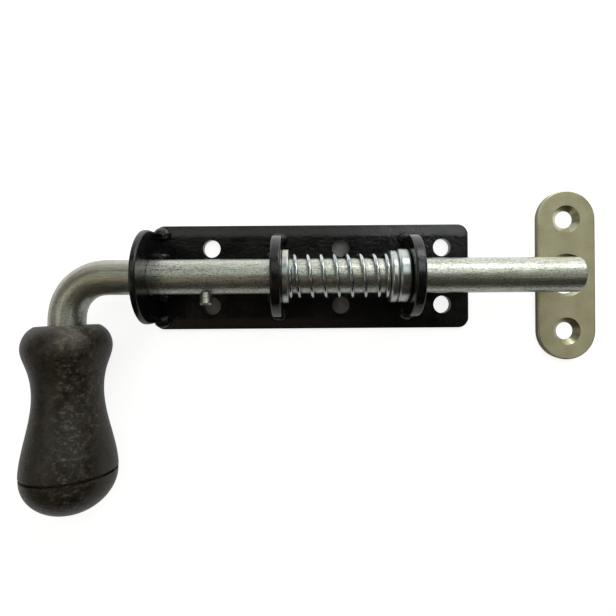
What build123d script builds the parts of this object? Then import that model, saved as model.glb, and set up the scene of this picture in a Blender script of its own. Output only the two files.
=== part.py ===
from build123d import *
import math
import os

# Base plate, lying on its back with its centre at the origin
plate_length = 152.0
plate_width = 50.0
plate_thick = 4.0
plate_corner = 5.0
plate_edge = 0.7
hole_d = 8.5
hole_columns = (-48.0, 14.3, 63.2)
hole_row_gap = 27.6

# Ears that carry the rod
end_ear_thick = 2.8
end_ear_width = 42.8
end_ear_inset = 0.4
ear_thick = 4.5
ear_width = 37.0
handle_ear_gap = 58.7
spring_ear_gap = 61.6
ear_edge = 0.9
axis_height = 14.0
ear_play = 0.4
bead_radius = 3.6
bead_length = 24.0
tack_radius = 3.0

# Bolt rod with its bent leg
rod_d = 16.0
tip_reach = 45.3
tip_round = 0.7
leg_offset = 34.6
soft_bend_radius = 28.0
soft_bend_angle = 8.0
main_bend_radius = 17.2
leg_bend_radius = 30.0
leg_bend_angle = 13.0
leg_lean = 1.8
handle_tilt = 2.3
leg_end_chamfer = 1.0

# Stop pin
pin_d = 5.5
pin_x = -47.6
pin_reach = 12.9
pin_depth = 5.0
pin_turn = 8.0

# Grip, profile measured from its rim along the leg
grip_gap = 0.9
rim_radius = 13.4
grip_shoulder = (4.2, 17.6)
grip_collar = (9.5, 18.9)
grip_neck = (18.5, 16.5)
grip_waist = (29.5, 14.75)
grip_swell = (42.6, 16.3)
grip_flank = (52.5, 18.6)
grip_belly = (63.4, 20.3)
grip_length = 83.0
groove_gap = 1.3
groove_neck = 18.6
rod_in_grip = 52.0
socket_play = 0.05
plug_radius = 13.5
plug_depth = 8.0

# Washers, collar and spring along the rod
ear_washer_d = 24.4
seat_washer_d = 23.6
washer_bore = 17.0
ear_washer_thick = 3.1
seat_washer_thick = 3.5
seat_washer_drop = 0.4
collar_d = 24.2
collar_thick = 5.4
collar_gap = 0.1
washer_edge = 0.5
collar_edge = 1.2
wire_d = 1.8
spring_d = 20.6
free_coils = 7.0
end_coils = 0.75
first_coil_turn = 156.0

# Strike plate
strike_length = 82.0
strike_width = 28.0
strike_thick = 3.0
strike_edge = 0.6
strike_x = 124.0
strike_hole_gap = 54.4
strike_hole_d = 8.4
strike_sink_d = 13.3
strike_bore_d = 18.0
strike_bore_rim_d = 20.8

# Sizes that follow
axis_z = plate_thick + axis_height
ear_first_x = (end_ear_thick - plate_length) / 2 + end_ear_inset
ear_bore_d = rod_d + 2 * ear_play
tip_x = plate_length / 2 + tip_reach
leg_x = -plate_length / 2 - leg_offset
ear_middle_x = ear_first_x + handle_ear_gap
ear_bolt_x = ear_middle_x + spring_ear_gap
ear_washer_x = ear_middle_x + ear_thick / 2
spring_start = ear_washer_x + ear_washer_thick
collar_end = ear_bolt_x - ear_thick / 2 - collar_gap
collar_start = collar_end - collar_thick
spring_end = collar_start - seat_washer_thick


def along_x(shape):
    """Turn a shape made on the Z axis to lie on the rod's axis."""
    return Pos(0, 0, axis_z) * Rot(0, 90, 0) * shape


def on_bolt(shape):
    """Place a shape made on the X axis, leg down, into the bolt's stored turn."""
    return Pos(0, 0, axis_z) * Rot(-handle_tilt, 0, 0) * shape


def make_base_plate():
    outline = RectangleRounded(plate_length, plate_width, plate_corner)
    plate = extrude(outline, plate_thick)
    for x in hole_columns:
        for side in (-1, 1):
            spot = Pos(x, side * hole_row_gap / 2, plate_thick / 2)
            plate -= spot * Cylinder(hole_d / 2, 2 * plate_thick)
    top_face = plate.faces().sort_by(Axis.Z)[-1]
    return fillet(top_face.outer_wire().edges(), plate_edge)


def make_bead(side):
    """Quarter-round weld bead in the corner of an ear's foot."""
    run = bead_length - 2 * bead_radius
    bar = Rot(90, 0, 0) * Cylinder(bead_radius, run)
    bead = bar
    for end in (-1, 1):
        bead += Pos(0, end * run / 2, 0) * Sphere(bead_radius)
    corner = Box(
        2 * bead_radius,
        2 * bead_length,
        2 * bead_radius,
        align=(Align.MIN, Align.CENTER, Align.MIN),
    )
    quarter = bead & corner
    if side < 0:
        quarter = mirror(quarter, about=Plane.YZ)
    return quarter


def make_tack(x, y):
    """Half-round tack weld at the end of an ear's foot."""
    lump = Sphere(tack_radius)
    above = Box(
        4 * tack_radius,
        4 * tack_radius,
        2 * tack_radius,
        align=(Align.CENTER, Align.CENTER, Align.MIN),
    )
    return Pos(x, y, 0) * (lump & above)


def make_ear(x, bead_side, width, thick, tack_shift):
    half = width / 2
    foot = Pos(0, axis_height / 2) * Rectangle(width, axis_height)
    crown = Pos(0, axis_height) * Circle(half)
    below = Pos(0, -half) * Rectangle(2 * width, width)
    outline = foot + crown - below
    bore = Pos(0, axis_height) * Circle(ear_bore_d / 2)
    tab = Plane.YZ * extrude(outline - bore, thick / 2, both=True)
    rim = []
    for edge in tab.edges():
        centre = edge.center(CenterOf.BOUNDING_BOX)
        far = math.hypot(centre.Y, centre.Z - axis_height) > ear_bore_d / 2
        if abs(abs(centre.X) - thick / 2) < 0.01 and centre.Z > 0.01 and far:
            rim.append(edge)
    tab = fillet(rim, ear_edge)
    ear = tab + Pos(bead_side * thick / 2, 0, 0) * make_bead(bead_side)
    for end in (-1, 1):
        ear += make_tack(tack_shift, end * (half - tack_radius / 5))
    return Pos(x, 0, plate_thick) * ear


def bend_reach():
    """Reach of the whole bend along the rod."""
    soft = math.radians(soft_bend_angle)
    last = math.radians(90 + leg_lean)
    tight = last - math.radians(leg_bend_angle)
    along = soft_bend_radius * math.sin(soft)
    along += main_bend_radius * (math.sin(tight) - math.sin(soft))
    return along + leg_bend_radius * (math.sin(last) - math.sin(tight))


def bend_path():
    start = (leg_x + bend_reach(), 0)
    main_angle = 90 + leg_lean - soft_bend_angle - leg_bend_angle
    soft = JernArc(start, (-1, 0), soft_bend_radius, soft_bend_angle)
    main = JernArc(soft @ 1, soft % 1, main_bend_radius, main_angle)
    last = JernArc(main @ 1, main % 1, leg_bend_radius, leg_bend_angle)
    return [soft, main, last]


def make_pin():
    length = pin_reach + pin_depth
    pin = Cylinder(pin_d / 2, length, align=(Align.CENTER, Align.CENTER, Align.MIN))
    top_edge = pin.edges().sort_by(Axis.Z)[-1]
    pin = chamfer(top_edge, 0.5)
    pin = Rot(90, 0, 0) * Pos(0, 0, -pin_depth) * pin
    return Rot(-pin_turn, 0, 0) * Pos(pin_x, 0, 0) * pin


def make_rod(pin):
    arcs = bend_path()
    leg_from = arcs[-1] @ 1
    bar = Line((tip_x, 0), arcs[0] @ 0)
    leg = Line(leg_from, leg_from + arcs[-1] % 1 * (grip_gap + rod_in_grip))
    path = Wire(Curve() + [bar, *arcs, leg])
    section = Plane((tip_x, 0, 0), z_dir=(-1, 0, 0)) * Circle(rod_d / 2)
    rod = sweep(section, path)
    ends = rod.edges().filter_by(GeomType.CIRCLE)
    tip_edge = ends.sort_by(Axis.X)[-1]
    rod = fillet(tip_edge, tip_round)
    leg_edge = rod.edges().filter_by(GeomType.CIRCLE).sort_by(Axis.Y)[0]
    rod = chamfer(leg_edge, leg_end_chamfer)
    return rod - pin


def on_leg(shape):
    """Place a shape made on the Z axis, hanging from its rim, on the rod's leg."""
    last = bend_path()[-1]
    rim = last @ 1 + last % 1 * grip_gap
    return Pos(rim.X, rim.Y, 0) * Rot(0, 0, leg_lean) * Rot(-90, 0, 0) * shape


def dome_radius(s):
    share = (s - grip_belly[0]) / (grip_length - grip_belly[0])
    return grip_belly[1] * math.sqrt(max(0.0, 1 - share * share))


def make_grip():
    cut = grip_belly[0] + groove_gap / 2
    rim_in = (rim_radius, 0)
    stations = [grip_shoulder, grip_collar, grip_neck, grip_waist, grip_swell]
    stations += [grip_flank, grip_belly]
    points = [rim_in] + [(radius, -s) for s, radius in stations]
    side = Spline(*points)
    end = Line(side @ 1, (grip_belly[1], -cut))
    face = Line(end @ 1, (0, -cut))
    middle = Line((0, -cut), (0, 0))
    top = Line((0, 0), rim_in)
    profile = make_face(Plane.XZ * (Curve() + [side, end, face, middle, top]))
    grip = revolve(profile, Axis.Z)
    bore = Cylinder(
        rod_d / 2 + socket_play,
        rod_in_grip,
        align=(Align.CENTER, Align.CENTER, Align.MAX),
    )
    core = Pos(0, 0, -cut) * Cylinder(
        plug_radius,
        plug_depth + 1.0,
        align=(Align.CENTER, Align.CENTER, Align.MIN),
    )
    return grip - bore - core


def make_end_cap():
    start = grip_belly[0] + groove_gap / 2
    seat = start + groove_gap
    rise = grip_length - seat
    half = (groove_neck, -start)
    rim = dome_radius(seat)
    step = Polyline((0, -start), half, (groove_neck, -seat), (rim, -seat))
    bow = 0.5523
    dome = Bezier(
        (rim, -seat),
        (rim, -seat - bow * rise),
        (bow * rim, -grip_length),
        (0, -grip_length),
    )
    middle = Line((0, -grip_length), (0, -start))
    profile = make_face(Plane.XZ * (Curve() + [step, dome, middle]))
    cap = revolve(profile, Axis.Z)
    plug = Pos(0, 0, -start) * Cylinder(
        plug_radius - 0.1,
        plug_depth,
        align=(Align.CENTER, Align.CENTER, Align.MIN),
    )
    hollow = Pos(0, 0, -start + plug_depth) * Cylinder(
        plug_radius - 3.0,
        plug_depth + 6.0,
        align=(Align.CENTER, Align.CENTER, Align.MAX),
    )
    return cap + plug - hollow


def make_ring(x, thick, outer_d, bore_d, edge, drop=0.0):
    ring = Cylinder(outer_d / 2, thick) - Cylinder(bore_d / 2, 2 * thick)
    outer = ring.edges().filter_by(GeomType.CIRCLE).sort_by(SortBy.RADIUS)[-2:]
    ring = fillet(outer, edge)
    return Pos(x + thick / 2, -drop, 0) * along_x(ring)


def make_spring():
    """Helical spring with closed ends, ground flat against both washers."""
    length = spring_end - spring_start
    radius = (spring_d - wire_d) / 2
    turns = free_coils + 2 * end_coils
    close_rise = 0.7 * wire_d
    steps = int(turns * 16)
    points = []
    free_rise = (length - wire_d * 0.6 - 2 * close_rise) / free_coils
    for i in range(steps + 1):
        turn = turns * i / steps
        closed_in = min(turn, end_coils)
        closed_out = max(0.0, turn - turns + end_coils)
        free = turn - closed_in - closed_out
        rise = (closed_in + closed_out) / end_coils * close_rise + free * free_rise
        angle = 2 * math.pi * turn + math.radians(first_coil_turn)
        points.append((radius * math.cos(angle), radius * math.sin(angle), rise))
    path = Spline(*points)
    section = Plane(path @ 0, z_dir=path % 0) * Circle(wire_d / 2)
    coil = sweep(section, path, is_frenet=True)
    coil = Pos(0, 0, wire_d * 0.3) * coil
    slab = Cylinder(spring_d, length, align=(Align.CENTER, Align.CENTER, Align.MIN))
    return Pos(spring_start, 0, 0) * along_x(coil & slab)


def make_strike():
    plate = extrude(SlotOverall(strike_length, strike_width, rotation=90), strike_thick)
    rims = plate.faces().sort_by(Axis.Z)[-1].outer_wire().edges()
    plate = fillet(rims, strike_edge)
    sink = (strike_sink_d - strike_hole_d) / 2
    for side in (-1, 1):
        spot = Pos(0, side * strike_hole_gap / 2, strike_thick)
        plate -= spot * Cylinder(strike_hole_d / 2, 3 * strike_thick)
        plate -= spot * Cone(
            strike_hole_d / 2,
            strike_sink_d / 2,
            sink,
            align=(Align.CENTER, Align.CENTER, Align.MAX),
        )
    chamfer_rise = (strike_bore_rim_d - strike_bore_d) / 2
    plate -= Pos(0, 0, strike_thick) * Cylinder(strike_bore_d / 2, 3 * strike_thick)
    plate -= Pos(0, 0, strike_thick) * Cone(
        strike_bore_d / 2,
        strike_bore_rim_d / 2,
        chamfer_rise,
        align=(Align.CENTER, Align.CENTER, Align.MAX),
    )
    return Pos(strike_x, 0, 0) * plate


def main():
    pin = make_pin()
    nodes = {
        "base_plate": make_base_plate(),
        "handle_end_ear": make_ear(
            ear_first_x, 1, end_ear_width, end_ear_thick, end_ear_thick / 2
        ),
        "middle_ear": make_ear(ear_middle_x, -1, ear_width, ear_thick, 0),
        "bolt_end_ear": make_ear(ear_bolt_x, 1, ear_width, ear_thick, 0),
        "ear_washer": make_ring(
            ear_washer_x, ear_washer_thick, ear_washer_d, washer_bore, washer_edge
        ),
        "spring": make_spring(),
        "seat_washer": make_ring(
            spring_end,
            seat_washer_thick,
            seat_washer_d,
            washer_bore,
            collar_edge,
            seat_washer_drop,
        ),
        "thrust_collar": make_ring(
            collar_start, collar_thick, collar_d, rod_d, collar_edge
        ),
        "bolt_rod": on_bolt(make_rod(pin)),
        "stop_pin": on_bolt(pin),
        "grip": on_bolt(on_leg(make_grip())),
        "grip_end_cap": on_bolt(on_leg(make_end_cap())),
        "strike_plate": make_strike(),
    }
    os.makedirs("parts", exist_ok=True)
    for name, shape in nodes.items():
        export_step(shape, f"parts/{name}.step")
        print(name, round(shape.volume), "mm3")


main()
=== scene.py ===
"""Spring bolt with a turned-down handle, dressed in its finishes under soft studio light."""
import logging
import math
from dataclasses import dataclass, field
from enum import Enum
from typing import Any

import bpy
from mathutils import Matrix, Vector


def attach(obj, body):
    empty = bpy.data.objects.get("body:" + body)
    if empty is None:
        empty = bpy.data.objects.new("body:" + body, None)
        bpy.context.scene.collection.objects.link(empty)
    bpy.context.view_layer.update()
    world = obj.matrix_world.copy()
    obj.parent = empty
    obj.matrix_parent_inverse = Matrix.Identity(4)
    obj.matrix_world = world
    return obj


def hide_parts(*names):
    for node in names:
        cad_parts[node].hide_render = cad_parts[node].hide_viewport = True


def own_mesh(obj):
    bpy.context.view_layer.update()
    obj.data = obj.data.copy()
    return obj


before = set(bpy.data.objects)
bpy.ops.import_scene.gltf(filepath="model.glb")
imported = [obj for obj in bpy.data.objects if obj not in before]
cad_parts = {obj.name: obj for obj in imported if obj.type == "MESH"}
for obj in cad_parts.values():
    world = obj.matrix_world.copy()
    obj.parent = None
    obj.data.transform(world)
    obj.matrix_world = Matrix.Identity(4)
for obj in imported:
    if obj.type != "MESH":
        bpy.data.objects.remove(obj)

log = logging.getLogger("spring_bolt")

MM = 0.001
# Points that lie closer than this after a cut become one point.
MERGE_MM = 0.03
# A face that a cut leaves with more sides than this is split into triangles round a middle point.
CAP_SIDES = 40
# Edges that turn by more than this stay sharp on smooth pieces.
SMOOTH_DEG = 40.0
# Nearly all that a noise pattern gives lies between these two values.
NOISE_LOW, NOISE_HIGH = 0.3, 0.7
# The wave pattern runs through this many radians in one unit of length.
WAVE_RADIANS = 20.0


class Slot(Enum):
    """Material slots of the record."""

    BLACK_COAT = "black_powder_coat"
    BRIGHT_ZINC = "bright_zinc"


class Body(Enum):
    """Moving bodies of the bolt that pieces ride on."""

    BASE = "base"


class Towards(Enum):
    """Side of an ear on which its weld bead lies."""

    TIP = 1.0
    HANDLE = -1.0


def linear(hex_colour: str) -> tuple[float, float, float, float]:
    """Turn an sRGB hex colour into linear values.

    Args:
        hex_colour: Colour as "#rrggbb".

    Returns:
        Red, green, blue and full alpha.
    """
    shares = [int(hex_colour[i:i + 2], 16) / 255 for i in (1, 3, 5)]
    parts = [s / 12.92 if s <= 0.04045 else ((s + 0.055) / 1.055) ** 2.4 for s in shares]
    return (parts[0], parts[1], parts[2], 1.0)


def per(size_mm: float) -> float:
    """Pattern scale that gives features of this size in millimetres."""
    return 1.0 / (size_mm * MM)


def add_node(
    tree: bpy.types.NodeTree,
    kind: str,
    feeds: dict[str | int, Any] | None = None,
    stops: list[tuple[float, str]] | None = None,
    **settings: Any,
) -> bpy.types.Node:
    """Add one shader node with its settings and links.

    Args:
        tree: Node tree of the material.
        kind: Node type, without the usual prefix.
        feeds: A value, or an output socket to link, for each input by name or number.
        stops: Places and colours of a colour ramp.
        settings: Properties of the node itself.

    Returns:
        The new node.
    """
    node = tree.nodes.new("ShaderNode" + kind)
    for name, value in settings.items():
        setattr(node, name, value)
    for place, (position, colour) in enumerate(stops or []):
        ramp = node.color_ramp.elements
        stop = ramp[place] if place < len(ramp) else ramp.new(position)
        stop.position = position
        stop.color = linear(colour)
    for key, value in (feeds or {}).items():
        if isinstance(value, bpy.types.NodeSocket):
            tree.links.new(value, node.inputs[key])
        else:
            node.inputs[key].default_value = value
    return node


def new_material(name: str) -> tuple[bpy.types.Material, bpy.types.NodeTree, bpy.types.Node]:
    """Start a material with an empty tree and its output node.

    Args:
        name: Common name of the real material.

    Returns:
        The material, its node tree and its output node.
    """
    material = bpy.data.materials.new(name)
    material.use_nodes = True
    tree = material.node_tree
    tree.nodes.clear()
    return material, tree, add_node(tree, "OutputMaterial")


@dataclass(frozen=True)
class PowderCoat:
    """Baked black powder coat over steel plate."""

    name: str = "black powder coat on steel"
    deep: str = "#040404"
    dusty: str = "#171614"
    gloss: tuple[float, float] = (0.17, 0.26)
    peel_mm: float = 1.5
    flow_mm: float = 7.0
    # Real dust and grit are finer: they are drawn this coarse to show in the render.
    speck_mm: float = 0.55
    dust_limits: tuple[float, float] = (0.60, 0.78)
    dust_share: float = 0.6
    peel_height_mm: float = 0.09
    grit_height_mm: float = 0.03
    flow_height_mm: float = 0.12
    refractive_index: float = 1.6
    # Width of flat bar whose edges are rolled, or none for a piece without such edges.
    rolled_width_mm: float = 0.0
    edge_width_mm: float = 6.0
    edge_fall_mm: float = 0.45

    def roll_edges(
        self, tree: bpy.types.NodeTree, place: bpy.types.NodeSocket,
    ) -> bpy.types.NodeSocket:
        """Height of flat bar whose long edges fall away softly and so take their own light.

        Args:
            tree: Node tree of the material.
            place: Object coordinates.

        Returns:
            Height over the bar's face in metres.
        """
        where = add_node(tree, "SeparateXYZ", {"Vector": place})
        aside = add_node(tree, "Math", {0: where.outputs["Y"]}, operation="ABSOLUTE")
        half = self.rolled_width_mm / 2
        fall = add_node(tree, "MapRange", {
            "Value": aside.outputs["Value"], "From Min": (half - self.edge_width_mm) * MM,
            "From Max": half * MM, "To Max": -self.edge_fall_mm * MM},
            interpolation_type="SMOOTHSTEP")
        return fall.outputs["Result"]

    def make(self) -> bpy.types.Material:
        """Satin black with an orange-peel skin, slow changes in gloss and a little pale dust.

        Returns:
            The material.
        """
        material, tree, output = new_material(self.name)
        place = add_node(tree, "TexCoord").outputs["Object"]
        peel, flow, speck = (
            add_node(tree, "TexNoise", {"Vector": place, "Scale": per(size), "Detail": detail})
            for size, detail in ((self.peel_mm, 2.0), (self.flow_mm, 3.0), (self.speck_mm, 4.0)))
        dust = add_node(tree, "MapRange", {
            "Value": speck.outputs["Fac"], "From Min": self.dust_limits[0],
            "From Max": self.dust_limits[1], "To Max": self.dust_share})
        colour = add_node(tree, "Mix", {
            0: dust.outputs["Result"], 6: linear(self.deep), 7: linear(self.dusty)},
            data_type="RGBA")
        rough = add_node(tree, "MapRange", {
            "Value": flow.outputs["Fac"], "From Min": NOISE_LOW, "From Max": NOISE_HIGH,
            "To Min": self.gloss[0], "To Max": self.gloss[1]})
        skin = add_node(tree, "Bump", {
            "Height": peel.outputs["Fac"], "Distance": self.peel_height_mm * MM, "Strength": 1.0})
        if self.rolled_width_mm:
            rolled = add_node(tree, "Bump", {
                "Height": self.roll_edges(tree, place), "Distance": 1.0, "Strength": 1.0})
            tree.links.new(rolled.outputs["Normal"], skin.inputs["Normal"])
        gritty = add_node(tree, "Bump", {
            "Height": speck.outputs["Fac"], "Distance": self.grit_height_mm * MM, "Strength": 1.0,
            "Normal": skin.outputs["Normal"]})
        drift = add_node(tree, "Bump", {
            "Height": flow.outputs["Fac"], "Distance": self.flow_height_mm * MM, "Strength": 1.0,
            "Normal": gritty.outputs["Normal"]})
        shader = add_node(tree, "BsdfPrincipled", {
            "Base Color": colour.outputs[2], "Roughness": rough.outputs["Result"],
            "Normal": drift.outputs["Normal"], "IOR": self.refractive_index})
        tree.links.new(shader.outputs["BSDF"], output.inputs["Surface"])
        return material


@dataclass(frozen=True)
class BrightZinc:
    """Bright zinc plate on turned rings and spring wire."""

    name: str = "bright zinc plate"
    pale: str = "#c8cdcb"
    cool: str = "#adb9bb"
    warm: str = "#c8c6b6"
    gloss: tuple[float, float] = (0.25, 0.36)
    tint_mm: float = 6.0
    grit_mm: float = 0.4
    # Length of one radian of the turning marks: real ones are finer and wouldn't show.
    turning_mm: float = 0.35
    turning_height_mm: float = 0.006
    axis_height_mm: float = 18.0

    def make(self) -> bpy.types.Material:
        """Silver with faint blue and straw tints and the fine rings that turning leaves.

        Returns:
            The material.
        """
        material, tree, output = new_material(self.name)
        place = add_node(tree, "TexCoord").outputs["Object"]
        centred = add_node(tree, "Mapping", {
            "Vector": place, "Location": (0.0, 0.0, -self.axis_height_mm * MM)})
        tint = add_node(tree, "TexNoise", {
            "Vector": place, "Scale": per(self.tint_mm), "Detail": 2.0})
        rings = add_node(tree, "TexWave", {
            "Vector": centred.outputs["Vector"], "Scale": per(self.turning_mm * WAVE_RADIANS),
            "Distortion": 1.5, "Detail": 2.0, "Detail Scale": 2.0},
            wave_type="RINGS", rings_direction="X")
        grit = add_node(tree, "TexNoise", {
            "Vector": place, "Scale": per(self.grit_mm), "Detail": 3.0})
        colour = add_node(
            tree, "ValToRGB", {"Fac": tint.outputs["Fac"]},
            stops=[(0.30, self.cool), (0.70, self.warm), (0.50, self.pale)])
        rough = add_node(tree, "MapRange", {
            "Value": grit.outputs["Fac"], "From Min": NOISE_LOW, "From Max": NOISE_HIGH,
            "To Min": self.gloss[0], "To Max": self.gloss[1]})
        marks = add_node(tree, "Bump", {
            "Height": rings.outputs["Fac"], "Distance": self.turning_height_mm * MM,
            "Strength": 1.0})
        shader = add_node(tree, "BsdfPrincipled", {
            "Base Color": colour.outputs["Color"], "Metallic": 1.0,
            "Roughness": rough.outputs["Result"], "Normal": marks.outputs["Normal"]})
        tree.links.new(shader.outputs["BSDF"], output.inputs["Surface"])
        return material


@dataclass(frozen=True)
class ZincBar:
    """Zinc plated drawn steel bar, bent at the handle end."""

    name: str = "zinc plated drawn bar"
    pale: str = "#d3d9cf"
    straw: str = "#b9b9a8"
    brown: str = "#544b3b"
    # Warm matt skin of the bend, kept darker than the paler leg partly as painted shade.
    bent: str = "#9c9581"
    gloss: tuple[float, float] = (0.28, 0.42)
    bent_gloss: tuple[float, float] = (0.40, 0.52)
    # Drawing lines and plating grain are finer on real bar: they are drawn this coarse to show.
    streak_long_mm: float = 6.0
    streak_wide_mm: float = 0.6
    streak_height_mm: float = 0.02
    grain_long_mm: float = 1.1
    grain_wide_mm: float = 0.7
    bloom_mm: float = 12.0
    spot_limits: tuple[float, float] = (0.48, 0.62)
    spot_share: float = 1.15
    pit_mm: float = 0.19
    film_pits: float = 0.2
    film_rough: float = 0.15
    film_index: float = 1.7
    bent_grain: float = 0.35
    # The matt skin of the bend gives way to the drawn one along the bar and down the leg; the step
    # from the darker bend to the paler leg is partly painted light and shade.
    bend_x_mm: tuple[float, float] = (-84.0, -72.0)
    leg_y_mm: tuple[float, float] = (0.0, -13.0)
    bend_centre_mm: tuple[float, float] = (-93.2, -17.3)

    def unroll(
        self, tree: bpy.types.NodeTree, place: bpy.types.NodeSocket,
    ) -> bpy.types.NodeSocket:
        """Coordinates that run with the bar round its bend: along it, across it and up.

        Args:
            tree: Node tree of the material.
            place: Object coordinates.

        Returns:
            Vector whose first part follows the bar.
        """
        where = add_node(tree, "SeparateXYZ", {"Vector": place}).outputs
        beside = add_node(tree, "Math", {
            0: self.bend_centre_mm[0] * MM, 1: where["X"]}, operation="SUBTRACT")
        above = add_node(tree, "Math", {
            0: where["Y"], 1: self.bend_centre_mm[1] * MM}, operation="SUBTRACT")
        beside_out, above_out = (
            add_node(tree, "Math", {0: way.outputs["Value"], 1: 0.0}, operation="MAXIMUM")
            for way in (beside, above))
        outward = add_node(tree, "CombineXYZ", {
            "X": beside_out.outputs["Value"], "Y": above_out.outputs["Value"]})
        across = add_node(tree, "VectorMath", {0: outward.outputs["Vector"]}, operation="LENGTH")
        along = add_node(tree, "Math", {0: where["X"], 1: where["Y"]}, operation="SUBTRACT")
        unrolled = add_node(tree, "CombineXYZ", {
            "X": along.outputs["Value"], "Y": across.outputs["Value"], "Z": where["Z"]})
        return unrolled.outputs["Vector"]

    def make(self) -> bpy.types.Material:
        """Grey-green metal under a clear film, grainy and brown-specked, warm and matt on its bend,
        and paler down its leg, partly as painted light.

        Returns:
            The material.
        """
        material, tree, output = new_material(self.name)
        place = add_node(tree, "TexCoord").outputs["Object"]
        along, across = per(self.streak_long_mm), per(self.streak_wide_mm)
        on_bar = add_node(tree, "Mapping", {
            "Vector": self.unroll(tree, place), "Scale": (along, across, across)})
        lines = add_node(tree, "TexNoise", {
            "Vector": on_bar.outputs["Vector"], "Scale": 1.0, "Detail": 3.0})
        along, across = per(self.grain_long_mm), per(self.grain_wide_mm)
        in_grain = add_node(tree, "Mapping", {"Vector": place, "Scale": (along, across, across)})
        speck = add_node(tree, "TexNoise", {
            "Vector": in_grain.outputs["Vector"], "Scale": 1.0, "Detail": 4.0, "Roughness": 0.65})
        bloom = add_node(tree, "TexNoise", {
            "Vector": place, "Scale": per(self.bloom_mm), "Detail": 2.0})
        where = add_node(tree, "SeparateXYZ", {"Vector": place})
        before, beyond = (
            add_node(tree, "MapRange", {
                "Value": where.outputs[axis], "From Min": limits[0] * MM,
                "From Max": limits[1] * MM})
            for axis, limits in (("X", self.bend_x_mm), ("Y", self.leg_y_mm)))
        # Drawn skin along the bar and down the leg; its paler tone on the leg is partly painted
        # light.
        straight = add_node(tree, "Math", {
            0: before.outputs["Result"], 1: beyond.outputs["Result"]}, operation="MAXIMUM")
        drawn_skin, bent_skin = (
            add_node(tree, "ValToRGB", {"Fac": lines.outputs["Fac"]}, stops=stops).outputs["Color"]
            for stops in (
                [(0.34, self.straw), (0.62, self.pale)], [(0.34, self.bent), (0.66, self.straw)]))
        streaks = add_node(tree, "Mix", {
            0: straight.outputs["Value"], 6: bent_skin, 7: drawn_skin}, data_type="RGBA")
        spots = add_node(tree, "MapRange", {
            "Value": speck.outputs["Fac"], "From Min": self.spot_limits[0],
            "From Max": self.spot_limits[1], "To Max": self.spot_share})
        patchy = add_node(tree, "Math", {
            0: spots.outputs["Result"], 1: bloom.outputs["Fac"]}, operation="MULTIPLY")
        grainy = add_node(tree, "MapRange", {
            "Value": straight.outputs["Value"], "To Min": self.bent_grain, "To Max": 1.0})
        spotted = add_node(tree, "Math", {
            0: patchy.outputs["Value"], 1: grainy.outputs["Result"]}, operation="MULTIPLY")
        colour = add_node(tree, "Mix", {
            0: spotted.outputs["Value"], 6: streaks.outputs[2], 7: linear(self.brown)},
            data_type="RGBA")
        drawn_rough, bent_rough = (
            add_node(tree, "MapRange", {
                "Value": speck.outputs["Fac"], "From Min": NOISE_LOW, "From Max": NOISE_HIGH,
                "To Min": low, "To Max": high}).outputs["Result"]
            for low, high in (self.gloss, self.bent_gloss))
        rough = add_node(tree, "Mix", {
            0: straight.outputs["Value"], 2: bent_rough, 3: drawn_rough}, data_type="FLOAT")
        drawn = add_node(tree, "Bump", {
            "Height": lines.outputs["Fac"], "Distance": self.streak_height_mm * MM,
            "Strength": 1.0})
        pitted, film = (
            add_node(tree, "Bump", {
                "Height": speck.outputs["Fac"], "Distance": self.pit_mm * MM, "Strength": strength,
                "Normal": drawn.outputs["Normal"]})
            for strength in (grainy.outputs["Result"], self.film_pits))
        shader = add_node(tree, "BsdfPrincipled", {
            "Base Color": colour.outputs[2], "Metallic": 1.0,
            "Roughness": rough.outputs[0], "Normal": pitted.outputs["Normal"],
            "Coat Weight": 1.0, "Coat Roughness": self.film_rough, "Coat IOR": self.film_index,
            "Coat Normal": film.outputs["Normal"]})
        tree.links.new(shader.outputs["BSDF"], output.inputs["Surface"])
        return material


@dataclass(frozen=True)
class YellowZinc:
    """Yellow passivated zinc on the stamped strike plate."""

    name: str = "yellow passivated zinc"
    straw: str = "#d2d0b0"
    olive: str = "#c0bd9b"
    # Painted shade colour of the walls, darker than the plate's face.
    cut: str = "#5d5543"
    gloss: tuple[float, float] = (0.26, 0.36)
    cloud_mm: float = 9.0
    # The tumbled grain is finer on the real plate: it is drawn this coarse to show.
    grain_mm: float = 0.5
    grain_height_mm: float = 0.004
    # Painted shade darkens a wall, which faces up less than the first of these, and spares the
    # plate's face, which faces up more than the second.
    wall_limits: tuple[float, float] = (0.1, 0.6)

    def make(self) -> bpy.types.Material:
        """Straw-olive satin metal, clouded by its passivation, with painted shade on its walls.

        Returns:
            The material.
        """
        material, tree, output = new_material(self.name)
        place = add_node(tree, "TexCoord").outputs["Object"]
        cloud, grain = (
            add_node(tree, "TexNoise", {"Vector": place, "Scale": per(size), "Detail": 3.0})
            for size in (self.cloud_mm, self.grain_mm))
        colour = add_node(
            tree, "ValToRGB", {"Fac": cloud.outputs["Fac"]},
            stops=[(0.32, self.olive), (0.68, self.straw)])
        shape = add_node(tree, "NewGeometry")
        facing = add_node(tree, "SeparateXYZ", {"Vector": shape.outputs["True Normal"]})
        upward = add_node(tree, "MapRange", {
            "Value": facing.outputs["Z"], "From Min": self.wall_limits[0],
            "From Max": self.wall_limits[1]})
        # Painted shade: walls and steep faces are drawn in the darker colour.
        painted_wall_shade = add_node(tree, "Mix", {
            0: upward.outputs["Result"], 6: linear(self.cut), 7: colour.outputs["Color"]},
            data_type="RGBA")
        rough = add_node(tree, "MapRange", {
            "Value": grain.outputs["Fac"], "From Min": NOISE_LOW, "From Max": NOISE_HIGH,
            "To Min": self.gloss[0], "To Max": self.gloss[1]})
        tumbled = add_node(tree, "Bump", {
            "Height": grain.outputs["Fac"], "Distance": self.grain_height_mm * MM, "Strength": 1.0})
        shader = add_node(tree, "BsdfPrincipled", {
            "Base Color": painted_wall_shade.outputs[2], "Metallic": 1.0,
            "Roughness": rough.outputs["Result"], "Normal": tumbled.outputs["Normal"]})
        tree.links.new(shader.outputs["BSDF"], output.inputs["Surface"])
        return material


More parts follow.
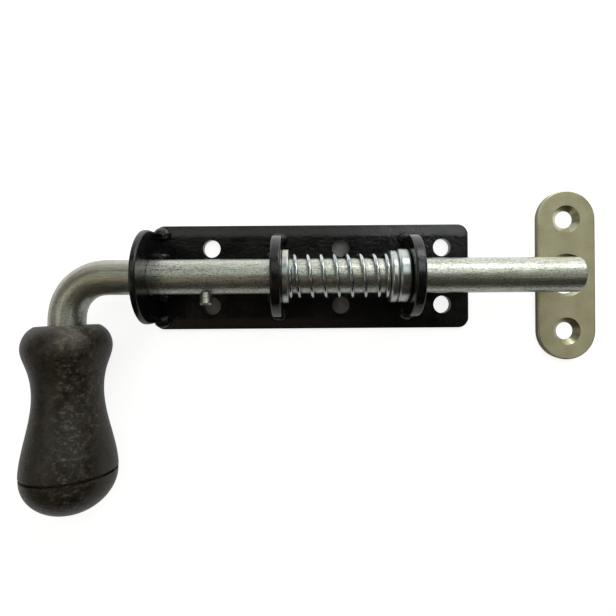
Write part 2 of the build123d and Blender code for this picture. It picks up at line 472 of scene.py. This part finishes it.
@dataclass(frozen=True)
class GripPlastic:
    """Moulded dark plastic of the handle, scuffed by use, with painted light on its lighter side
    and its shoulder.
    """

    name: str = "moulded dark plastic"
    dark: str = "#1f1b17"
    brown: str = "#42382d"
    moss: str = "#37372d"
    # Pale colour of dry rub marks, also used for painted light on the grip's lighter side and a
    # painted highlight on its shoulder.
    rub_and_light: str = "#857d6e"
    gloss: tuple[float, float] = (0.22, 0.38)
    mottle_mm: float = 4.5
    patch_mm: float = 24.0
    moss_limits: tuple[float, float] = (0.46, 0.66)
    moss_share: float = 0.5
    scuff_long_mm: float = 2.6
    scuff_wide_mm: float = 1.7
    scuff_turn_rad: float = 0.5
    dent_height_mm: float = 0.25
    # The moulded grain is finer on the real grip: it is drawn this coarse to show.
    grain_mm: float = 0.7
    grain_height_mm: float = 0.05
    # Rub marks lie thickest along this line of the grip, where they also serve as painted light on
    # its lighter side; a painted highlight lies on its shoulder.
    dry_limits: tuple[float, float] = (0.50, 0.78)
    dry_share: float = 2.5
    rub_x_mm: float = -101.5
    rub_half_width_mm: float = 12.0
    rub_aside: float = 0.1
    # Painted highlight on the shoulder: where along the grip it lies, and how strong.
    shoulder_y_mm: tuple[float, float] = (-38.0, -27.0)
    shoulder_sheen: float = 0.45
    refractive_index: float = 1.49
    shine: float = 0.40

    def make(self) -> bpy.types.Material:
        """Brown-black skin, mottled and dented, with pale dry rub marks where the palm wears it,
        partly painted light, and a painted highlight on its shoulder.

        Returns:
            The material.
        """
        material, tree, output = new_material(self.name)
        place = add_node(tree, "TexCoord").outputs["Object"]
        mottle = add_node(tree, "TexNoise", {
            "Vector": place, "Scale": per(self.mottle_mm), "Detail": 5.0, "Roughness": 0.6})
        turned = add_node(tree, "Mapping", {
            "Vector": place, "Rotation": (0.0, 0.0, self.scuff_turn_rad),
            "Scale": (per(self.scuff_long_mm), per(self.scuff_wide_mm), per(self.scuff_wide_mm))})
        scuff = add_node(tree, "TexNoise", {
            "Vector": turned.outputs["Vector"], "Scale": 1.0, "Detail": 5.0, "Roughness": 0.72})
        grain = add_node(tree, "TexNoise", {
            "Vector": place, "Scale": per(self.grain_mm), "Detail": 3.0})
        ground = add_node(
            tree, "ValToRGB", {"Fac": mottle.outputs["Fac"]},
            stops=[(0.36, self.dark), (0.66, self.brown)])
        patch = add_node(tree, "TexNoise", {
            "Vector": place, "Scale": per(self.patch_mm), "Detail": 2.0})
        greened = add_node(tree, "MapRange", {
            "Value": patch.outputs["Fac"], "From Min": self.moss_limits[0],
            "From Max": self.moss_limits[1], "To Max": self.moss_share})
        skin = add_node(tree, "Mix", {
            0: greened.outputs["Result"], 6: ground.outputs["Color"], 7: linear(self.moss)},
            data_type="RGBA")
        where = add_node(tree, "SeparateXYZ", {"Vector": place})
        shifted = add_node(tree, "Math", {
            0: where.outputs["X"], 1: self.rub_x_mm * MM}, operation="SUBTRACT")
        aside = add_node(tree, "Math", {0: shifted.outputs["Value"]}, operation="ABSOLUTE")
        palm = add_node(tree, "MapRange", {
            "Value": aside.outputs["Value"], "From Max": self.rub_half_width_mm * MM,
            "To Min": 1.0, "To Max": self.rub_aside}, interpolation_type="SMOOTHSTEP")
        dry = add_node(tree, "MapRange", {
            "Value": scuff.outputs["Fac"], "From Min": self.dry_limits[0],
            "From Max": self.dry_limits[1], "To Max": self.dry_share})
        # Pale rub marks along the strip, partly painted light on the grip's lighter side.
        rub_and_light = add_node(tree, "Math", {
            0: dry.outputs["Result"], 1: palm.outputs["Result"]}, operation="MULTIPLY")
        # Painted highlight: the shoulder is drawn paler within the rub strip.
        shoulder = add_node(tree, "MapRange", {
            "Value": where.outputs["Y"], "From Min": self.shoulder_y_mm[0] * MM,
            "From Max": self.shoulder_y_mm[1] * MM, "To Max": self.shoulder_sheen},
            interpolation_type="SMOOTHSTEP")
        rub_and_light_share = add_node(tree, "Math", {
            0: shoulder.outputs["Result"], 1: palm.outputs["Result"], 2: rub_and_light.outputs["Value"]},
            operation="MULTIPLY_ADD")
        wear_and_light = add_node(tree, "Math", {
            0: rub_and_light_share.outputs["Value"], 1: mottle.outputs["Fac"]}, operation="MULTIPLY")
        colour = add_node(tree, "Mix", {
            0: wear_and_light.outputs["Value"], 6: skin.outputs[2], 7: linear(self.rub_and_light)}, data_type="RGBA")
        rough = add_node(tree, "MapRange", {
            "Value": mottle.outputs["Fac"], "From Min": NOISE_LOW, "From Max": NOISE_HIGH,
            "To Min": self.gloss[0], "To Max": self.gloss[1]})
        pebble = add_node(tree, "Bump", {
            "Height": grain.outputs["Fac"], "Distance": self.grain_height_mm * MM, "Strength": 1.0})
        dents = add_node(tree, "Bump", {
            "Height": scuff.outputs["Fac"], "Distance": self.dent_height_mm * MM, "Strength": 1.0,
            "Normal": pebble.outputs["Normal"]})
        shader = add_node(tree, "BsdfPrincipled", {
            "Base Color": colour.outputs[2], "Roughness": rough.outputs["Result"],
            "Normal": dents.outputs["Normal"], "IOR": self.refractive_index,
            "Specular IOR Level": self.shine})
        tree.links.new(shader.outputs["BSDF"], output.inputs["Surface"])
        return material


@dataclass(frozen=True)
class PaleFloor:
    """Matt white studio table."""

    name: str = "matt white table"
    white: str = "#dcdcdc"
    shaded: str = "#a9a7a5"
    light: str = "#ffffff"
    rough: float = 0.9
    glow: float = 0.84
    # How much of its glow the table shows in metal, from the plate's middle to its far edge.
    mirrored_share: tuple[float, float] = (0.32, 0.95)
    mirrored_y_mm: tuple[float, float] = (0.0, 30.0)
    # Centre and half widths of two patches of shade under the plate, and how soft their rims are.
    shades_mm: tuple[tuple[float, float, float, float], ...] = (
        (14.3, 0.0, 20.0, 22.0), (-47.0, -13.8, 9.0, 9.0))
    shade_rim: tuple[float, float] = (0.92, 1.06)

    def make(self) -> bpy.types.Material:
        """Even white to the eye, with light shadows, that lies in shade under parts of the plate.

        Returns:
            The material.
        """
        material, tree, output = new_material(self.name)
        place = add_node(tree, "TexCoord").outputs["Object"]
        away = []
        for x, y, wide, high in self.shades_mm:
            spot = add_node(tree, "Mapping", {
                "Vector": place, "Location": (-x / wide, -y / high, 0.0),
                "Scale": (per(wide), per(high), 0.0)})
            away.append(
                add_node(tree, "VectorMath", {0: spot.outputs["Vector"]}, operation="LENGTH"))
        nearest = add_node(tree, "Math", {
            0: away[0].outputs["Value"], 1: away[1].outputs["Value"]}, operation="MINIMUM")
        lit = add_node(tree, "MapRange", {
            "Value": nearest.outputs["Value"], "From Min": self.shade_rim[0],
            "From Max": self.shade_rim[1], "To Max": self.glow})
        open_share = add_node(tree, "Math", {
            0: lit.outputs["Result"], 1: self.glow}, operation="DIVIDE")
        colour = add_node(tree, "Mix", {
            0: open_share.outputs["Value"], 6: linear(self.shaded), 7: linear(self.white)},
            data_type="RGBA")
        ray = add_node(tree, "LightPath")
        where = add_node(tree, "SeparateXYZ", {"Vector": place})
        side = add_node(tree, "MapRange", {
            "Value": where.outputs["Y"],
            "From Min": self.mirrored_y_mm[0] * MM, "From Max": self.mirrored_y_mm[1] * MM,
            "To Min": self.mirrored_share[0], "To Max": self.mirrored_share[1]})
        mirrored = add_node(tree, "Math", {
            0: ray.outputs["Is Glossy Ray"], 1: side.outputs["Result"]}, operation="MULTIPLY")
        share = add_node(tree, "Math", {
            0: ray.outputs["Is Camera Ray"], 1: mirrored.outputs["Value"]}, operation="ADD")
        glow = add_node(tree, "Math", {
            0: lit.outputs["Result"], 1: share.outputs["Value"]}, operation="MULTIPLY")
        shader = add_node(tree, "BsdfPrincipled", {
            "Base Color": colour.outputs[2], "Roughness": self.rough,
            "Emission Color": linear(self.light), "Emission Strength": glow.outputs["Value"]})
        tree.links.new(shader.outputs["BSDF"], output.inputs["Surface"])
        return material


def dress(piece: bpy.types.Object, material: bpy.types.Material) -> None:
    """Put a finish on a piece in place of the one it came with."""
    piece.data.materials.clear()
    piece.data.materials.append(material)


def apply_modifier(piece: bpy.types.Object, kind: str, **settings: Any) -> None:
    """Add a modifier to a piece and apply it at once.

    Args:
        piece: Active mesh object.
        kind: Blender's name for the modifier type.
        settings: Properties of the modifier.
    """
    modifier = piece.modifiers.new(kind.title(), kind)
    for name, value in settings.items():
        setattr(modifier, name, value)
    bpy.ops.object.modifier_apply(modifier=modifier.name)


def roughen(piece: bpy.types.Object, depth_mm: float, lump_mm: float) -> None:
    """Give a weld the uneven skin of metal that has run and set.

    Args:
        piece: Active mesh object.
        depth_mm: Height of the lumps from lowest to highest.
        lump_mm: Size of the lumps.
    """
    lumps = bpy.data.textures.new(piece.name + "_lumps", "CLOUDS")
    lumps.noise_scale = lump_mm * MM
    apply_modifier(
        piece, "DISPLACE", texture=lumps, texture_coords="LOCAL", strength=depth_mm * MM,
        mid_level=0.5)


def settle(piece: bpy.types.Object) -> None:
    """Leave a piece at the origin, unturned and unscaled, with its place in its mesh."""
    bpy.ops.object.transform_apply(location=True, rotation=True, scale=True)
    piece.data.update()


def keep_within(
    piece: bpy.types.Object,
    low_mm: tuple[float, float, float],
    high_mm: tuple[float, float, float],
) -> None:
    """Cut a piece back to what lies inside an upright box, closed where it was cut.

    Args:
        piece: Mesh object, left active and selected.
        low_mm: Corner of the box with the smallest coordinates.
        high_mm: Corner of the box with the largest coordinates.
    """
    low, high = Vector(low_mm) * MM, Vector(high_mm) * MM
    bpy.ops.object.select_all(action="DESELECT")
    bpy.ops.mesh.primitive_cube_add(size=1.0, location=(low + high) / 2)
    box = bpy.context.active_object
    box.scale = high - low
    settle(box)
    bpy.context.view_layer.objects.active = piece
    apply_modifier(piece, "BOOLEAN", operation="INTERSECT", solver="EXACT", object=box)
    bpy.data.objects.remove(box)
    piece.select_set(True)
    bpy.ops.object.mode_set(mode="EDIT")
    bpy.ops.mesh.select_all(action="SELECT")
    bpy.ops.mesh.remove_doubles(threshold=MERGE_MM * MM)
    bpy.ops.mesh.select_all(action="DESELECT")
    bpy.ops.mesh.select_face_by_sides(number=CAP_SIDES, type="GREATER")
    bpy.ops.mesh.poke()
    bpy.ops.mesh.select_all(action="SELECT")
    bpy.ops.mesh.normals_make_consistent(inside=False)
    bpy.ops.object.mode_set(mode="OBJECT")


@dataclass
class BasePlate:
    """Back plate with its three welded ears."""

    coat: bpy.types.Material
    plate_coat: bpy.types.Material
    plate: str = "base_plate"
    ears: tuple[str, ...] = ("handle_end_ear", "middle_ear", "bolt_end_ear")
    plate_top_mm: float = 4.0
    bead_radius_mm: float = 3.7
    bead_length_mm: float = 27.0
    bead_reach: float = 1.35
    ripples: int = 8
    ripple_width: float = 0.78
    voxel_mm: float = 0.32
    smooth_share: float = 0.5
    smooth_rounds: int = 6
    lump_mm: float = 2.6
    lump_depth_mm: float = 0.9
    ear_faces_mm: tuple[tuple[float, Towards], ...] = (
        (-72.8, Towards.TIP), (-17.75, Towards.HANDLE), (48.35, Towards.TIP))
    tack_radii_mm: tuple[float, float, float] = (4.3, 3.4, 3.4)
    tacks_mm: tuple[tuple[float, float], ...] = (
        (-71.7, 20.8), (-71.7, -20.8), (-15.5, 17.9), (-15.5, -17.9), (46.1, 17.9), (46.1, -17.9))
    plate_end_mm: float = -75.9
    # Welds reach this far into the steel that they lie on.
    sink_mm: float = 0.2
    # Reach of a cutting box on the sides where it cuts nothing.
    room_mm: float = 60.0

    def make_bead(self, number: int, face_mm: float, side: Towards) -> bpy.types.Object:
        """Model one rippled weld bead in the corner between an ear and the plate.

        Args:
            number: Count of the bead, from the handle end.
            face_mm: Place of the ear's face along the bolt.
            side: Side of the ear that the bead lies on.

        Returns:
            The finished bead.
        """
        radius = self.bead_radius_mm * MM
        pitch = (self.bead_length_mm * MM - 2 * radius) / (self.ripples - 1)
        start = -self.bead_length_mm * MM / 2 + radius
        corner = Vector((face_mm * MM, 0.0, self.plate_top_mm * MM))
        bpy.ops.object.select_all(action="DESELECT")
        bpy.ops.mesh.primitive_uv_sphere_add(
            segments=24, ring_count=16, radius=radius, location=(corner.x, start, corner.z))
        bead = bpy.context.active_object
        bead.name = f"weld_bead_{number}"
        bead.scale = (self.bead_reach, self.ripple_width, 1.0)
        settle(bead)
        apply_modifier(
            bead, "ARRAY", count=self.ripples, use_relative_offset=False, use_constant_offset=True,
            constant_offset_displace=(0.0, pitch, 0.0))
        apply_modifier(
            bead, "REMESH", mode="VOXEL", voxel_size=self.voxel_mm * MM, use_smooth_shade=True)
        apply_modifier(bead, "SMOOTH", factor=self.smooth_share, iterations=self.smooth_rounds)
        roughen(bead, self.lump_depth_mm, self.lump_mm)
        near, far = sorted(
            (face_mm - side.value * self.sink_mm, face_mm + side.value * self.room_mm))
        keep_within(
            bead, (near, -self.room_mm, self.plate_top_mm - self.sink_mm),
            (far, self.room_mm, self.room_mm))
        bpy.ops.object.shade_smooth_by_angle(angle=math.radians(SMOOTH_DEG))
        return bead

    def make_tack(self, number: int, x_mm: float, y_mm: float) -> bpy.types.Object:
        """Model one lumpy tack weld at the end of an ear's foot.

        Args:
            number: Count of the tack, from the handle end.
            x_mm: Place along the bolt.
            y_mm: Place across the plate.

        Returns:
            The finished tack.
        """
        bpy.ops.object.select_all(action="DESELECT")
        bpy.ops.mesh.primitive_uv_sphere_add(
            segments=40, ring_count=28, radius=MM,
            location=(x_mm * MM, y_mm * MM, self.plate_top_mm * MM))
        tack = bpy.context.active_object
        tack.name = f"weld_tack_{number}"
        tack.scale = self.tack_radii_mm
        settle(tack)
        roughen(tack, self.lump_depth_mm, self.lump_mm)
        keep_within(
            tack, (self.plate_end_mm, -self.room_mm, self.plate_top_mm - self.sink_mm),
            (self.room_mm, self.room_mm, self.room_mm))
        bpy.ops.object.shade_smooth_by_angle(angle=math.radians(SMOOTH_DEG))
        return tack

    def build(self) -> list[bpy.types.Object]:
        """Dress the plate and ears and lay the welds.

        Returns:
            The pieces of this sub-assembly.
        """
        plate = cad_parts[self.plate]
        dress(plate, self.plate_coat)
        pieces = [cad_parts[name] for name in self.ears]
        welds = [
            self.make_bead(number, face, side)
            for number, (face, side) in enumerate(self.ear_faces_mm, start=1)]
        welds += [
            self.make_tack(number, x, y)
            for number, (x, y) in enumerate(self.tacks_mm, start=1)]
        for weld in welds:
            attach(weld, Body.BASE.value)
        pieces += welds
        for piece in pieces:
            dress(piece, self.coat)
        return [plate] + pieces


@dataclass
class SpringDrive:
    """Coil spring between its two washers, with the collar that it pushes."""

    zinc: bpy.types.Material
    wire: bpy.types.Material
    nodes: tuple[str, ...] = ("ear_washer", "seat_washer", "thrust_collar")
    start_mm: float = -10.15
    end_mm: float = 34.85
    axis_height_mm: float = 18.0
    wire_mm: float = 1.8
    outside_mm: float = 20.6
    free_coils: float = 7.0
    end_coils: float = 0.75
    # Rise of each closed end, and of the wire's middle over a washer, in thicknesses of the wire.
    end_rise: float = 0.7
    ground_rise: float = 0.3
    first_turn_deg: float = 156.0
    travel_mm: float = 22.2
    wire_sides: int = 18
    steps_per_turn: int = 56

    def rise(self, turn: float) -> float:
        """Place of the wire along the bolt after so many turns.

        Args:
            turn: Turns from the wire's first end.

        Returns:
            Distance from the first washer in metres.
        """
        turns = self.free_coils + 2 * self.end_coils
        close = self.end_rise * self.wire_mm
        ground = self.ground_rise * self.wire_mm
        length = self.end_mm - self.start_mm
        free = (length - 2 * ground - 2 * close) / self.free_coils
        first = min(turn, self.end_coils)
        last = max(0.0, turn - turns + self.end_coils)
        closed = (first + last) / self.end_coils * close
        return (ground + closed + (turn - first - last) * free) * MM

    def make_spring(self) -> bpy.types.Object:
        """Wind the spring with closed, flat-ground ends.

        Returns:
            The finished spring.
        """
        turns = self.free_coils + 2 * self.end_coils
        steps = round(turns * self.steps_per_turn)
        radius = (self.outside_mm - self.wire_mm) / 2 * MM
        first = math.radians(self.first_turn_deg)
        bpy.ops.object.select_all(action="DESELECT")
        bpy.ops.mesh.primitive_circle_add(
            vertices=self.wire_sides, radius=self.wire_mm / 2 * MM, location=(0.0, 0.0, -radius),
            rotation=(math.pi / 2, 0.0, 0.0))
        spring = bpy.context.active_object
        spring.name = "coil_spring"
        settle(spring)
        apply_modifier(
            spring, "SCREW", axis="X", angle=2 * math.pi * turns, screw_offset=0.0, steps=steps + 1,
            render_steps=steps + 1, use_merge_vertices=False, use_smooth_shade=True)
        log.info("spring wound: %d points for %d rings", len(spring.data.vertices), steps + 1)
        for point in spring.data.vertices:
            ring = point.index // self.wire_sides
            point.co.x += self.start_mm * MM + self.rise(turns * ring / steps)
            y, z = point.co.y, point.co.z
            point.co.y = y * math.cos(first) - z * math.sin(first)
            point.co.z = y * math.sin(first) + z * math.cos(first) + self.axis_height_mm * MM
        bpy.ops.object.mode_set(mode="EDIT")
        bpy.ops.mesh.select_all(action="SELECT")
        bpy.ops.mesh.fill_holes(sides=0)
        bpy.ops.mesh.select_all(action="SELECT")
        bpy.ops.mesh.normals_make_consistent(inside=False)
        bpy.ops.object.mode_set(mode="OBJECT")
        across = 2 * self.outside_mm
        keep_within(spring, (self.start_mm, -across, -across), (self.end_mm, across, across))
        bpy.ops.object.shade_smooth_by_angle(angle=math.radians(SMOOTH_DEG))
        return spring

    def build(self) -> list[bpy.types.Object]:
        """Wind the spring and dress it with the washers and the collar.

        Returns:
            The pieces of this sub-assembly.
        """
        spring = self.make_spring()
        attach(spring, Body.BASE.value)
        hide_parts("spring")
        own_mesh(spring)
        dress(spring, self.wire)
        rings = [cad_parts[name] for name in self.nodes]
        for ring in rings:
            dress(ring, self.zinc)
        return [spring] + rings


@dataclass
class SlidingBolt:
    """Bent bar and the stop pin driven into it."""

    bar: bpy.types.Material
    pin: bpy.types.Material
    nodes: tuple[str, ...] = ("bolt_rod", "stop_pin")

    def build(self) -> list[bpy.types.Object]:
        """Dress the bar and its pin.

        Returns:
            The pieces of this sub-assembly.
        """
        pieces = [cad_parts[name] for name in self.nodes]
        for piece, finish in zip(pieces, (self.bar, self.pin)):
            dress(piece, finish)
        return pieces


@dataclass
class Handle:
    """Grip and the domed cap that closes it."""

    plastic: bpy.types.Material
    nodes: tuple[str, ...] = ("grip", "grip_end_cap")

    def build(self) -> list[bpy.types.Object]:
        """Dress the grip and its end cap.

        Returns:
            The pieces of this sub-assembly.
        """
        pieces = [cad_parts[name] for name in self.nodes]
        for piece in pieces:
            dress(piece, self.plastic)
        return pieces


@dataclass
class StrikePlate:
    """Loose plate that takes the bolt's tip."""

    zinc: bpy.types.Material
    nodes: tuple[str, ...] = ("strike_plate",)

    def build(self) -> list[bpy.types.Object]:
        """Dress the strike plate.

        Returns:
            The pieces of this sub-assembly.
        """
        pieces = [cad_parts[name] for name in self.nodes]
        for piece in pieces:
            dress(piece, self.zinc)
        return pieces


@dataclass
class SoftBox:
    """One rectangular studio light."""

    # Places and sizes are in metres, and brightness is that of the light's face.
    name: str
    place: tuple[float, float, float]
    aim: tuple[float, float, float]
    size: tuple[float, float]
    brightness: float
    tint: str = "#ffffff"

    def build(self) -> bpy.types.Object:
        """Hang the light and point it.

        Returns:
            The light.
        """
        data = bpy.data.lights.new(self.name, "AREA")
        data.shape = "RECTANGLE"
        data.size, data.size_y = self.size
        data.energy = self.brightness * math.pi * self.size[0] * self.size[1]
        data.color = linear(self.tint)[:3]
        light = bpy.data.objects.new(self.name, data)
        light.location = self.place
        way = Vector(self.aim) - Vector(self.place)
        light.rotation_euler = way.to_track_quat("-Z", "Y").to_euler()
        bpy.context.scene.collection.objects.link(light)
        return light


@dataclass
class Studio:
    """White table, soft lights and the camera above the bolt."""

    table: bpy.types.Material
    lights: list[SoftBox] = field(default_factory=lambda: [
        SoftBox(
            "key_softbox", (0.26, 0.44, 0.29), (0.03, 0.0, 0.01), (0.46, 0.24), 3.2, "#fbfffa"),
        SoftBox(
            "back_wall", (-0.10, 0.72, 0.28), (-0.10, 0.0, 0.28), (1.80, 0.56), 0.62, "#fbfdff"),
        SoftBox(
            "back_panel", (-0.22, 0.46, 0.90), (-0.22, 0.46, 0.0), (0.84, 0.54), 0.75, "#f8fff4"),
        SoftBox(
            "back_right_panel", (0.33, 0.46, 0.90), (0.33, 0.46, 0.0), (0.26, 0.54), 2.05,
            "#fbfdff"),
        SoftBox(
            "right_panel", (0.68, -0.06, 0.90), (0.68, -0.06, 0.0), (0.36, 0.70), 0.66, "#fffaf0"),
        SoftBox(
            "ceiling_card", (-0.20, -0.41, 0.90), (-0.20, -0.41, 0.0), (0.60, 0.48), 0.14,
            "#ffe2c2"),
        SoftBox(
            "left_card", (-0.72, -0.12, 0.90), (-0.72, -0.12, 0.0), (0.56, 0.60), 0.92, "#fff6e6"),
        SoftBox(
            "left_wall", (-0.90, 0.0, 0.30), (0.0, 0.0, 0.30), (1.20, 0.50), 0.20, "#fff4e8"),
        SoftBox(
            "front_card", (0.0, -0.62, 0.50), (0.0, 0.0, 0.02), (1.60, 0.30), 0.04, "#fff2de"),
    ])
    table_m: float = 4.0
    # The table lies this much under the mounting plane, so that the two don't share a face.
    table_drop_mm: float = 0.05
    room: str = "#22211f"
    backdrop: str = "#e4e4e3"
    focal_px: float = 480.0
    frame_px: float = 616.0
    axis_px: float = 288.0
    camera_mm: tuple[float, float, float] = (-1.6, -5.4, 236.0)
    camera_turn_deg: float = -0.4
    sensor_mm: float = 36.0
    nearest_m: float = 0.005

    def build(self) -> None:
        """Lay the table, hang the lights and set the camera."""
        bpy.ops.object.select_all(action="DESELECT")
        bpy.ops.mesh.primitive_plane_add(
            size=self.table_m, location=(0.0, 0.0, -self.table_drop_mm * MM))
        table = bpy.context.active_object
        table.name = "studio_table"
        settle(table)
        dress(table, self.table)
        for light in self.lights:
            light.build()
        self.set_room()
        self.set_camera()
        bpy.context.scene.view_settings.view_transform = "Standard"

    def set_room(self) -> None:
        """Put a pale backdrop behind the table in a room that itself gives little light."""
        world = bpy.data.worlds.new("studio_room")
        world.use_nodes = True
        tree = world.node_tree
        ray = add_node(tree, "LightPath")
        seen = add_node(tree, "Mix", {
            0: ray.outputs["Is Camera Ray"], 6: linear(self.room), 7: linear(self.backdrop)},
            data_type="RGBA")
        tree.links.new(seen.outputs[2], tree.nodes["Background"].inputs["Color"])
        bpy.context.scene.world = world

    def set_camera(self) -> None:
        """Look straight down, with the optical axis a little above the picture's middle."""
        data = bpy.data.cameras.new("top_camera")
        data.sensor_width = self.sensor_mm
        data.lens = data.sensor_width * self.focal_px / self.frame_px
        data.shift_y = (self.axis_px - self.frame_px / 2) / self.frame_px
        data.clip_start = self.nearest_m
        camera = bpy.data.objects.new("top_camera", data)
        camera.location = Vector(self.camera_mm) * MM
        camera.rotation_euler = (0.0, 0.0, math.radians(self.camera_turn_deg))
        bpy.context.scene.collection.objects.link(camera)
        bpy.context.scene.camera = camera


def main() -> None:
    """Build each sub-assembly in order, then the studio, and note the sizes."""
    logging.basicConfig(level=logging.INFO, format="%(name)s: %(message)s")
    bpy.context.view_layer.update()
    groups = [
        BasePlate(
            PowderCoat(dusty="#201f1c", gloss=(0.20, 0.32)).make(),
            PowderCoat(name="black powder coat on flat bar", rolled_width_mm=50.0).make()),
        SpringDrive(
            BrightZinc().make(),
            BrightZinc(
                name="bright zinc plated wire", warm="#d1d2cb", gloss=(0.14, 0.22)).make()),
        SlidingBolt(
            ZincBar().make(),
            ZincBar(
                name="zinc plated pin", gloss=(0.36, 0.46), streak_wide_mm=4.0,
                pit_mm=0.03).make()),
        Handle(GripPlastic().make()),
        StrikePlate(YellowZinc().make()),
    ]
    for group in groups:
        for piece in group.build():
            log.info("%s: %s, %d faces", type(group).__name__, piece.name, len(piece.data.polygons))
    Studio(PaleFloor().make()).build()


if __name__ == "__main__":
    main()
